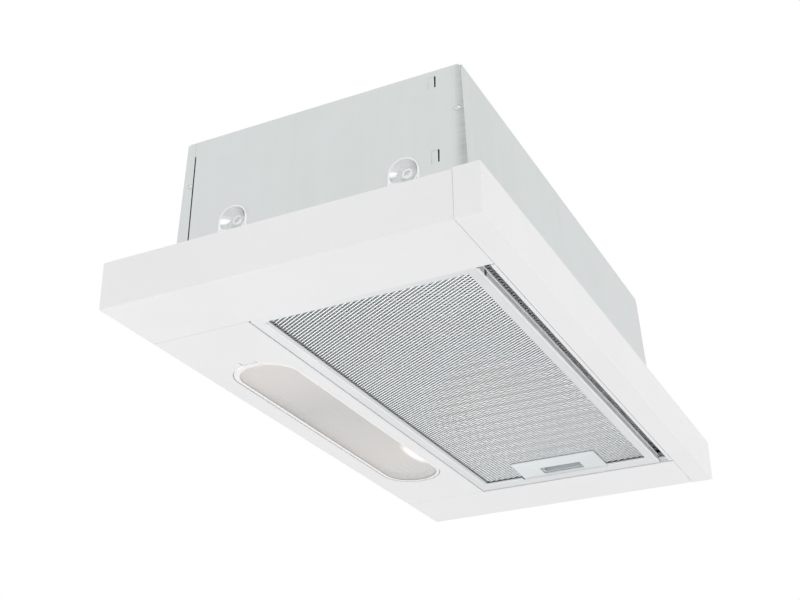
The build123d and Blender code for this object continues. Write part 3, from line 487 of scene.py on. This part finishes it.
# the upper layer takes the near-black painted shade
cm.data.materials.append(MATS["carriage_mesh_back_painted_shade"])
for p in cm.data.polygons[len(f):]:
    p.material_index = 1


# ----------------------------------------------------------------------- loops
def skin(rings, closed=True):
    """Quads between successive rings of equal length, each ring a closed loop."""
    verts, faces = [], []
    n = len(rings[0])
    for ring in rings:
        verts.extend(ring)
    m = len(rings)
    for i in range(m if closed else m - 1):
        a, b = i * n, ((i + 1) % m) * n
        for j in range(n):
            k = (j + 1) % n
            faces.append((a + j, a + k, b + k, b + j))
    return verts, faces


def merge(*parts):
    verts, faces = [], []
    for v, f in parts:
        n = len(verts)
        verts.extend(v)
        faces.extend(tuple(i + n for i in q) for q in f)
    return verts, faces


def tidy(ob, dist=1e-6):
    bm = bmesh.new()
    bm.from_mesh(ob.data)
    bmesh.ops.remove_doubles(bm, verts=bm.verts, dist=dist)
    bmesh.ops.recalc_face_normals(bm, faces=bm.faces)
    bm.to_mesh(ob.data)
    bm.free()


def sharp_smooth(ob, angle=35):
    """Smooth shading that keeps edges sharper than the angle."""
    for p in ob.data.polygons:
        p.use_smooth = True
    bm = bmesh.new()
    bm.from_mesh(ob.data)
    for e in bm.edges:
        e.smooth = not (len(e.link_faces) != 2 or e.calc_face_angle(0) > math.radians(angle))
    bm.to_mesh(ob.data)
    bm.free()


def slab(x0, x1, d0, d1, z0, z1, b=0.25):
    """Small block with chamfered lower edges (towards -z)."""
    lo, hi = [], []
    ring = lambda i, z: [pt(x0 + i, d0 + i, z), pt(x1 - i, d0 + i, z), pt(x1 - i, d1 - i, z), pt(x0 + i, d1 - i, z)]
    v, f = skin([ring(b, z0), ring(0, z0 + b), ring(0, z1)], closed=False)
    f.append((3, 2, 1, 0))
    f.append((8, 9, 10, 11))
    return v, f


# ---------------------------------------------------------------- filter trim
def run_x(x0, x1, section, step=24.0):
    """Closed section of (d, z) points carried along x, with end caps."""
    n = max(1, int(abs(x1 - x0) / step))
    rings = [[pt(x0 + (x1 - x0) * i / n, d, z) for d, z in section] for i in range(n + 1)]
    v, f = skin(rings, closed=False)
    m = len(section)
    f.append(tuple(range(m - 1, -1, -1)))
    f.append(tuple(range(n * m, n * m + m)))
    return v, f


def round_bar(d, z, rd, rz, n=12):
    return [(d + rd * math.cos(2 * math.pi * i / n), z + rz * math.sin(2 * math.pi * i / n)) for i in range(n)]


# rolled front wall of the filter, open at a small slot near its left end
wall = [(33.38, 7.4), (33.1, 7.4), (33.02, 5.0), (33.06, 2.6), (33.1, 0.9), (33.38, 0.9)]
v, f = merge(run_x(-228.4, -218.6, wall), run_x(-214.2, 223.2, wall))
trim = make("filter_front_wall", v, f, "filter_wall", "grease_filter")
tidy(trim)
# painted shadow: a near-black strip fills the slot in the wall, standing in for the shade behind the opening
v, f = run_x(-218.5, -214.3, [(33.38, 6.4), (33.2, 6.4), (33.2, 1.6), (33.38, 1.6)])
back = make("filter_slot_painted_shadow", v, f, "gland_black", "grease_filter")
tidy(back)
# rolled top edge of the filter wall, coloured near white as a painted highlight
v, f = run_x(-228.4, 223.2, round_bar(33.0, 5.8, 0.50, 0.50))
bead = make("filter_wall_bead", v, f, "bead_painted_highlight", "grease_filter")
tidy(bead)
sharp_smooth(bead, 60)
# rolled bottom front edge, in the lighter aluminium with painted highlight
v, f = run_x(-228.6, 223.4, round_bar(34.15, 0.62, 0.75, 0.32))
edge = make("filter_front_edges", v, f, "filter_edge_painted_highlight", "grease_filter")
tidy(edge)
for p in edge.data.polygons:
    p.use_smooth = True
sharp_smooth(edge, 60)


def flat_loop(profile, x1, d1, x2=-224.0, d2=42.7, gap=None):
    """Sections of (offset outwards, z) carried along an open path round the window:
    right side in two stretches beside the latch, and the rear side."""
    out = []
    m = len(profile)
    corner = lambda o, z: [pt(x1 + o, d1 + o, z)]
    # rear side, mitred at the right-hand corner
    rings = []
    for x in np.linspace(-222.0, 1.0, 12)[:-1].tolist():
        rings.append([pt(x, d1 + o, z) for o, z in profile])
    for k in range(10):
        rings.append([pt(1.0 + (x1 + o - 1.0) * k / 9.0, d1 + o, z) for o, z in profile])
    for k in range(1, 4):
        rings.append([pt(x1 + o, d1 + o + (gap[1] - d1 - o) * k / 3.0, z) for o, z in profile])
    v, f = skin(rings, closed=False)
    f.append(tuple(range(m - 1, -1, -1)))
    f.append(tuple(range((len(rings) - 1) * m, len(rings) * m)))
    out.append((v, f))
    rings = [[pt(x1 + o, gap[0] + (d2 + 1.5 - gap[0]) * k / 3.0, z) for o, z in profile] for k in range(4)]
    v, f = skin(rings, closed=False)
    f.append(tuple(range(m - 1, -1, -1)))
    f.append(tuple(range(3 * m, 4 * m)))
    out.append((v, f))
    return merge(*out)


# stepped edge round the window: a narrow sunk ledge with a rolled rim; the sunk ledge is coloured darker aluminium as
# painted shade, the rolled rim lighter aluminium as painted highlight
v, f = flat_loop([(-0.02, 1.65), (-0.10, 1.65), (-0.10, 0.56), (0.5, 0.40), (3.3, 0.40), (3.3, 0.63), (-0.02, 0.63)], 204.5, 208.2, gap=(81.4, 170.6))
ledge = make("filter_window_ledge", v, f, "filter_ledge_painted_shade", "grease_filter")
tidy(ledge)
v, f = flat_loop([(3.2, 0.63), (3.25, 0.38), (3.55, 0.2), (4.0, 0.14), (4.5, 0.22), (4.9, 0.42), (5.1, 0.63)], 204.5, 208.2, gap=(81.4, 170.6))
rim = make("filter_window_rim", v, f, "filter_edge_painted_highlight", "grease_filter")
tidy(rim)
sharp_smooth(rim, 60)

# thin seal between the fascia and the beam behind it
v, f = run_x(-226.0, 222.0, [(20.22, 0.12), (20.22, 1.2), (20.58, 1.2), (20.58, 0.12)])
seal = make("fascia_seal", v, f, "seal_grey", "carriage")
tidy(seal)

# latch housing: shallow tray with a rolled lip round the finger slot
OUT = [(164.4, 82.6), (165.4, 81.9), (211.0, 81.9), (211.0, 169.4), (165.2, 166.9), (164.4, 166.2)]
SLOT = [(186.6, 104.3), (188.0, 103.6), (203.0, 103.6), (204.2, 104.6), (204.2, 144.4), (203.0, 145.4), (187.0, 144.6), (186.2, 143.4)]


def ray_hit(poly, c, a):
    ux, uy = math.cos(a), math.sin(a)
    best = None
    for i in range(len(poly)):
        (x0, y0), (x1, y1) = poly[i], poly[(i + 1) % len(poly)]
        ex, ey = x1 - x0, y1 - y0
        den = ux * ey - uy * ex
        if abs(den) < 1e-12:
            continue
        k = ((x0 - c[0]) * ey - (y0 - c[1]) * ex) / den
        m = ((x0 - c[0]) * uy - (y0 - c[1]) * ux) / den
        if k > 0 and -1e-9 <= m <= 1 + 1e-9 and (best is None or k < best):
            best = k
    return (c[0] + ux * best, c[1] + uy * best)


mid = (195.2, 124.5)
angles = sorted(set(round(math.atan2(y - mid[1], x - mid[0]), 6) for x, y in OUT + SLOT) |
                set(round(-math.pi + 2 * math.pi * i / 48 + 0.01, 6) for i in range(48)))


def ring_of(poly, grow, z):
    out = []
    for a in angles:
        x, y = ray_hit(poly, mid, a)
        r = math.hypot(x - mid[0], y - mid[1])
        # grow towards the outside, roughly square to the edges
        gx = grow * max(-1.0, min(1.0, (x - mid[0]) / max(abs(p[0] - mid[0]) for p in poly) * 1.2))
        gy = grow * max(-1.0, min(1.0, (y - mid[1]) / max(abs(p[1] - mid[1]) for p in poly) * 1.2))
        out.append(pt(x + gx, y + gy, z))
    return out


tray = skin([ring_of(OUT, 0, 2.3), ring_of(OUT, 0, 1.0), ring_of(OUT, -0.15, 0.72), ring_of(OUT, -0.45, 0.6),
             ring_of(SLOT, 1.1, 0.6), ring_of(SLOT, 0.8, 0.45), ring_of(SLOT, 0.4, 0.40), ring_of(SLOT, 0.1, 0.55), ring_of(SLOT, 0, 0.9),
             ring_of(SLOT, 0, 1.8), ring_of(SLOT, 1.0, 1.85), ring_of(OUT, -1.3, 1.85), ring_of(OUT, -1.3, 2.3)])
v, f = merge(tray, slab(164.4, 165.6, 82.2, 166.2, 2.3, 8.2, 0.1), slab(165.6, 211.0, 82.0, 83.2, 2.3, 8.2, 0.1),
             slab(165.6, 211.0, 165.6, 166.8, 2.3, 8.2, 0.1), slab(165.6, 211.0, 83.2, 165.6, 7.4, 8.2, 0.1))
house = make("latch_housing_v", v, f, "latch_aluminium", "grease_filter", ["latch_housing"])
tidy(house)
sharp_smooth(house, 35)

# end tab of the right-hand strip, seen at the end of the air gap
v, f = slab(218.6, 226.3, 24.4, 32.6, 2.6, 3.8, 0.3)
tab = make("strip_end_tab", v, f, "carriage_steel", "housing")
tidy(tab)

# ------------------------------------------------------------------- lamp lens
LENS_D, LENS_CX = 262.0, 134.8


def stadium_ring(r, z, left=LENS_CX, arc=30, line=14, flat=163.4):
    pts = []
    for i in range(arc + 1):
        a = -math.pi / 2 + math.pi * i / arc
        pts.append((LENS_CX + r * math.cos(a), LENS_D + r * math.sin(a)))
    for i in range(1, line):
        k = i / line
        pts.append((LENS_CX + (-left - LENS_CX) * k, LENS_D + r))
    for i in range(arc + 1):
        a = math.pi / 2 + math.pi * i / arc
        pts.append((-left + r * math.cos(a), LENS_D + r * math.sin(a)))
    for i in range(1, line):
        k = i / line
        pts.append((-left + (LENS_CX + left) * k, LENS_D - r))
    return [pt(min(x, flat), d, z) for x, d in pts]


RIM = [(29.2, 1.4, 134.8), (29.0, 0.6, 134.8), (28.5, 0.3, 134.8), (27.0, 0.3, 132.8), (26.3, 0.35, 131.4), (26.0, 0.6, 131.0)]
WALL = [(25.8, 1.25, 131.0), (25.6, 2.2, 131.0), (24.9, 3.2, 131.0), (23.8, 3.75, 131.0), (22.4, 4.0, 131.0)]
FACE = [(18.0, 4.1, 131.3), (12.0, 4.1, 131.3), (6.0, 4.1, 131.3), (0.02, 4.1, 131.3),
        (0.02, 7.2, 131.3), (8.0, 7.25, 131.3), (16.0, 7.3, 131.3), (22.0, 7.4, 131.3)]
BACK = [(23.6, 7.2, 131.5), (24.9, 6.6, 131.8), (26.0, 5.2, 132.2), (27.2, 2.5, 133.0), (28.8, 2.3, 134.8), (29.2, 2.0, 134.8)]
prof = RIM + WALL + FACE + BACK
v, f = skin([stadium_ring(r, z, c) for r, z, c in prof])
lens = make("lamp_lens_v", v, f, "lens_clear", "lens", ["lamp_lens"])
lens.data.materials.append(MATS["lens_rim"])
lens.data.materials.append(MATS["lens_groove_painted_shade"])
per = len(v) // len(prof)
inner_from, inner_to = len(RIM) - 1, len(RIM + WALL + FACE) + 1
for i, p in enumerate(lens.data.polygons):
    ring = i // per
    p.material_index = 0 if inner_from <= ring < inner_to else 1
    # the crease at the foot of the wall takes the painted-shade grey
    if ring == inner_from:
        p.material_index = 2
tidy(lens, 3e-5)
sharp_smooth(lens, 50)

# grip pad with fine ribs at the lens's left tip
pads = [slab(-163.6, -158.6, 254.6, 269.4, 0.02, 0.9)]
for i in range(6):
    d = 256.0 + i * 2.2
    pads.append(slab(-158.9, -156.9, d, d + 1.0, 0.06, 0.9, 0.15))
v, f = merge(*pads)
grip_pad = make("lens_grip_pad", v, f, "lens_rim", "lens")
tidy(grip_pad)

# ------------------------------------------------------ spring, ticks and bead
slot_of = {sub["node"]: sub["material_slot"] for sub in frame["record"]["subparts"]}


def tube(points, r, n=8):
    rings = []
    for i, p in enumerate(points):
        t0 = (points[min(i + 1, len(points) - 1)] - points[max(i - 1, 0)]).normalized()
        side = t0.cross(Vector((0.1, 0.2, 1.0))).normalized()
        up = side.cross(t0).normalized()
        rings.append([p + side * (r * math.cos(2 * math.pi * k / n)) + up * (r * math.sin(2 * math.pi * k / n)) for k in range(n)])
    v, f = skin(rings, closed=False)
    f.append(tuple(range(n - 1, -1, -1)))
    f.append(tuple(range((len(points) - 1) * n, len(points) * n)))
    return v, f


coil, turns = [], 8.0
steps = int(turns * 16)
for i in range(steps + 1):
    k = i / steps
    a = 2 * math.pi * turns * k
    # closed end turns, open in the middle
    e = k - 0.07 * math.sin(2 * math.pi * k)
    coil.append(pt(165.95 + 9.6 * e, 124.0 + 1.85 * math.cos(a), 4.5 + 1.85 * math.sin(a)))
v, f = tube(coil, 0.00027)
spring = make("latch_spring_v", v, f, "spring_steel", "grease_filter", ["latch_spring"])
tidy(spring)
sharp_smooth(spring, 60)
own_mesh(spring)

ticks = []
for x, w, l in ((135.0, 0.7, 2.0), (141.0, 0.7, 2.8), (147.0, 0.7, 3.6), (153.0, 0.7, 4.4), (185.0, 0.7, 2.0), (193.0, 0.7, 4.0)):
    ticks.append(slab(x - w / 2, x + w / 2, 49.0, 49.0 + l, 33.3, 33.62, 0.05))
v, f = merge(*ticks)
marks = make("control_ticks", v, f, slot_of["fan_slider"], "carriage")
tidy(marks)

for x, name in ((135.0, "fan"), (185.0, "light")):
    ribs = [slab(x - 4.6 + i * 1.3, x - 4.1 + i * 1.3, 38.6, 47.4, 35.9, 36.35, 0.05) for i in range(3)]
    ribs += [slab(x + 1.7 + i * 1.3, x + 2.2 + i * 1.3, 38.6, 47.4, 35.9, 36.35, 0.05) for i in range(3)]
    v, f = merge(*ribs)
    rib = make(name + "_knob_ribs", v, f, slot_of["fan_slider"], name + "_knob")
    tidy(rib)

rings = []
for z, r in ((200.6, 59.45), (201.0, 60.1), (201.7, 60.5), (202.4, 60.1), (202.8, 59.45)):
    rings.append([pt(r * math.cos(2 * math.pi * i / 128), 166.0 + r * math.sin(2 * math.pi * i / 128), z) for i in range(128)])
v, f = skin(rings)
spig = make("spigot_bead", v, f, slot_of["duct_spigot"], "housing")
tidy(spig)
sharp_smooth(spig, 50)

# ----------------------------------------------------------- cups in the sides
LEAN = 0.0332


def half_w(z):
    return 232.4 - (z - 40.0) * LEAN


def side_pt(s, d, z0, u, w, depth):
    """Point on the case's side: u towards the rear, w up the sheet, depth inward."""
    k = math.sqrt(1 + LEAN * LEAN)
    x = s * half_w(z0) - s * LEAN / k * w - s / k * depth
    z = z0 + w / k - LEAN / k * depth
    return pt(x, d + u, z)


def ring_on_side(s, d, z0, r, depth, off=0.0, n=72):
    return [side_pt(s, d, z0, r * math.cos(2 * math.pi * i / n), off + r * math.sin(2 * math.pi * i / n), depth)
            for i in range(n)]


def bead_on_side(s, d, z0, path, width, height, sink=0.12):
    """Pressed half-round ridge along a closed path of (u, w, nu, nw)."""
    sec = [(-1.0, -sink / height), (-0.93, 0.30), (-0.66, 0.74), (-0.25, 0.98), (0.25, 0.98), (0.66, 0.74), (0.93, 0.30), (1.0, -sink / height)]
    rings = []
    for q, h in sec:
        rings.append([side_pt(s, d, z0, u + nu * q * width, w + nw * q * width, -h * height) for u, w, nu, nw in path])
    return skin(rings)


def oval_path(r, drop, arc=36, line=8):
    out = []
    for i in range(arc + 1):
        a = math.pi * i / arc
        out.append((r * math.cos(a), r * math.sin(a), math.cos(a), math.sin(a)))
    for i in range(1, line):
        out.append((-r, -drop * i / line, -1, 0))
    for i in range(arc + 1):
        a = math.pi + math.pi * i / arc
        out.append((r * math.cos(a), -drop + r * math.sin(a), math.cos(a), math.sin(a)))
    for i in range(1, line):
        out.append((r, -drop + drop * i / line, 1, 0))
    return out


CUP_Z, CUP_RISE = 95.3, 3.3
CUP_PROFILE = [(13.45, 0.0, 0), (13.4, -0.12, 0), (12.3, -0.16, 0), (11.85, -0.06, 0), (11.55, 0.18, 0.05), (11.35, 0.55, 0.15),
               (8.1, 4.1, 1.75), (5.0, 7.65, 3.25), (4.8, 7.9, 3.3), (4.6, 8.0, 3.3), (2.6, 8.0, 3.3),
               (2.6, 8.8, 3.3), (5.4, 8.8, 3.3), (12.0, 1.3, 0.3), (12.5, 0.6, 0.05), (12.7, 0.05, 0)]
parts = []
for s in (-1, 1):
    for d in (89.9, 241.2):
        parts.append(skin([ring_on_side(s, d, CUP_Z, r, h, o) for r, h, o in CUP_PROFILE]))
        parts.append(skin([ring_on_side(s, d, CUP_Z, r, h, 3.3, 48) for r, h in ((0.5, 8.2), (0.5, 9.5), (5.0, 9.5), (5.0, 8.9), (2.5, 8.9), (2.5, 8.2))]))
        parts.append(bead_on_side(s, d, CUP_Z, oval_path(12.45, 20.0), 1.05, 0.8))
v, f = merge(*parts)
cups = make("side_cups_v", v, f, "cup_steel", "housing", ["side_cups"])
tidy(cups)
sharp_smooth(cups, 40)

# ---------------------------------------------------------------------- stage
floor = bpy.data.objects.new("floor", bpy.data.meshes.new("floor"))
floor.data.from_pydata([(-14, -14, -2.6), (14, -14, -2.6), (14, 14, -2.6), (-14, 14, -2.6)], [], [(0, 1, 2, 3)])
scene.collection.objects.link(floor)
t = Tree("floor_paper")
fc = t.ramp(t.noise(t.scaled(0.8), detail=3), [(0.3, (0.87, 0.87, 0.87)), (0.7, (0.89, 0.89, 0.89))])
t.principled(fc, 0.9, t.bump(t.noise(t.scaled(300), detail=3), 0.05, 0.001), 0.0, Specular_IOR_Level=0.2)
floor.data.materials.append(t.mat)

# ---------------------------------------------------------------------- world
world = bpy.data.worlds.new("studio")
scene.world = world
world.use_nodes = True
wt = world.node_tree
wt.nodes.clear()
wout = wt.nodes.new("ShaderNodeOutputWorld")
path = wt.nodes.new("ShaderNodeLightPath")
cam_bg = wt.nodes.new("ShaderNodeBackground")
cam_bg.inputs["Color"].default_value = (1, 1, 1, 1)
cam_bg.inputs["Strength"].default_value = 1.0
dif_bg = wt.nodes.new("ShaderNodeBackground")
dif_bg.inputs["Color"].default_value = (1, 1, 1, 1)
dif_bg.inputs["Strength"].default_value = 0.975
gls_bg = wt.nodes.new("ShaderNodeBackground")
gls_bg.inputs["Strength"].default_value = 1.0
tc = wt.nodes.new("ShaderNodeTexCoord")
# soft boxes and flags of the studio, seen only in reflections
SKY = 0.84
BLOBS = [((-0.773, 0.389, 0.503), 25, 55, 0.96), ((0.803, -0.349, 0.483), 25, 52, 0.915),
         ((0.803, 0.389, -0.451), 25, 50, 0.95), ((-0.45, 0.39, -0.80), 14, 26, 0.97),
         ((-0.52, -0.50, -0.69), 12, 30, 0.32), ((0.20, -0.55, 0.81), 10, 30, 0.45),
         ((-0.28, -0.86, 0.43), 12, 24, 1.35), ((0.10, 0.95, 0.30), 20, 45, 0.70),
         ((0.163, 0.014, -0.984), 16, 34, 0.02), ((0.306, 0.680, -0.664), 15, 28, 2.6)]
level = None
for direction, inner, outer, value in BLOBS:
    dot = wt.nodes.new("ShaderNodeVectorMath")
    dot.operation = "DOT_PRODUCT"
    dot.inputs[1].default_value = Vector(direction).normalized()
    wt.links.new(tc.outputs["Generated"], dot.inputs[0])
    mr = wt.nodes.new("ShaderNodeMapRange")
    mr.interpolation_type = "SMOOTHSTEP"
    mr.inputs["From Min"].default_value = math.cos(math.radians(outer))
    mr.inputs["From Max"].default_value = math.cos(math.radians(inner))
    wt.links.new(dot.outputs["Value"], mr.inputs["Value"])
    mx = wt.nodes.new("ShaderNodeMix")
    mx.data_type = "RGBA"
    wt.links.new(mr.outputs["Result"], mx.inputs[0])
    if level is None:
        mx.inputs[6].default_value = (SKY, SKY, SKY, 1)
    else:
        wt.links.new(level, mx.inputs[6])
    mx.inputs[7].default_value = (value, value, value, 1)
    level = mx.outputs[2]
wt.links.new(level, gls_bg.inputs["Color"])
mix1 = wt.nodes.new("ShaderNodeMixShader")
mix2 = wt.nodes.new("ShaderNodeMixShader")
wt.links.new(path.outputs["Is Glossy Ray"], mix1.inputs["Fac"])
wt.links.new(dif_bg.outputs[0], mix1.inputs[1])
wt.links.new(gls_bg.outputs[0], mix1.inputs[2])
wt.links.new(path.outputs["Is Camera Ray"], mix2.inputs["Fac"])
wt.links.new(mix1.outputs[0], mix2.inputs[1])
wt.links.new(cam_bg.outputs[0], mix2.inputs[2])
wt.links.new(mix2.outputs[0], wout.inputs["Surface"])


def area(name, loc, aim, size, power):
    li = bpy.data.lights.new(name, "AREA")
    li.shape = "DISK"
    li.size = size
    li.energy = power
    ob = bpy.data.objects.new(name, li)
    scene.collection.objects.link(ob)
    ob.location = loc
    ob.rotation_mode = "QUATERNION"
    ob.rotation_quaternion = (Vector(aim) - Vector(loc)).to_track_quat("-Z", "Y")
    ob.visible_camera = False
    return ob


area("key_front", (0.4, -3.2, 1.2), (0, 0, 0.05), 1.6, 4)
area("fill_below", (-0.6, -0.6, -2.3), (0, 0, 0.0), 1.8, 7.4)
# soft box behind and below the hood, for the highlights on the filter's strands
box_light = area("strand_box", (0.62, 1.49, -1.46), (0, -0.03, 0), 1.35, 8.6)
box_light.visible_diffuse = False

# --------------------------------------------------------------------- camera
cam = bpy.data.cameras.new("camera")
cam.sensor_width = 36.0
cam.lens = 58.53
cam.clip_start, cam.clip_end = 0.01, 60
camo = bpy.data.objects.new("camera", cam)
scene.collection.objects.link(camo)
camo.location = (-0.97736, -0.42215, -0.42993)
camo.rotation_mode = "XYZ"
camo.rotation_euler = (2.03841, 0.012131, -1.113695)
scene.camera = camo

scene.view_settings.view_transform = "Standard"
scene.view_settings.look = "None"
scene.view_settings.exposure = 0.0
scene.view_settings.gamma = 1.0
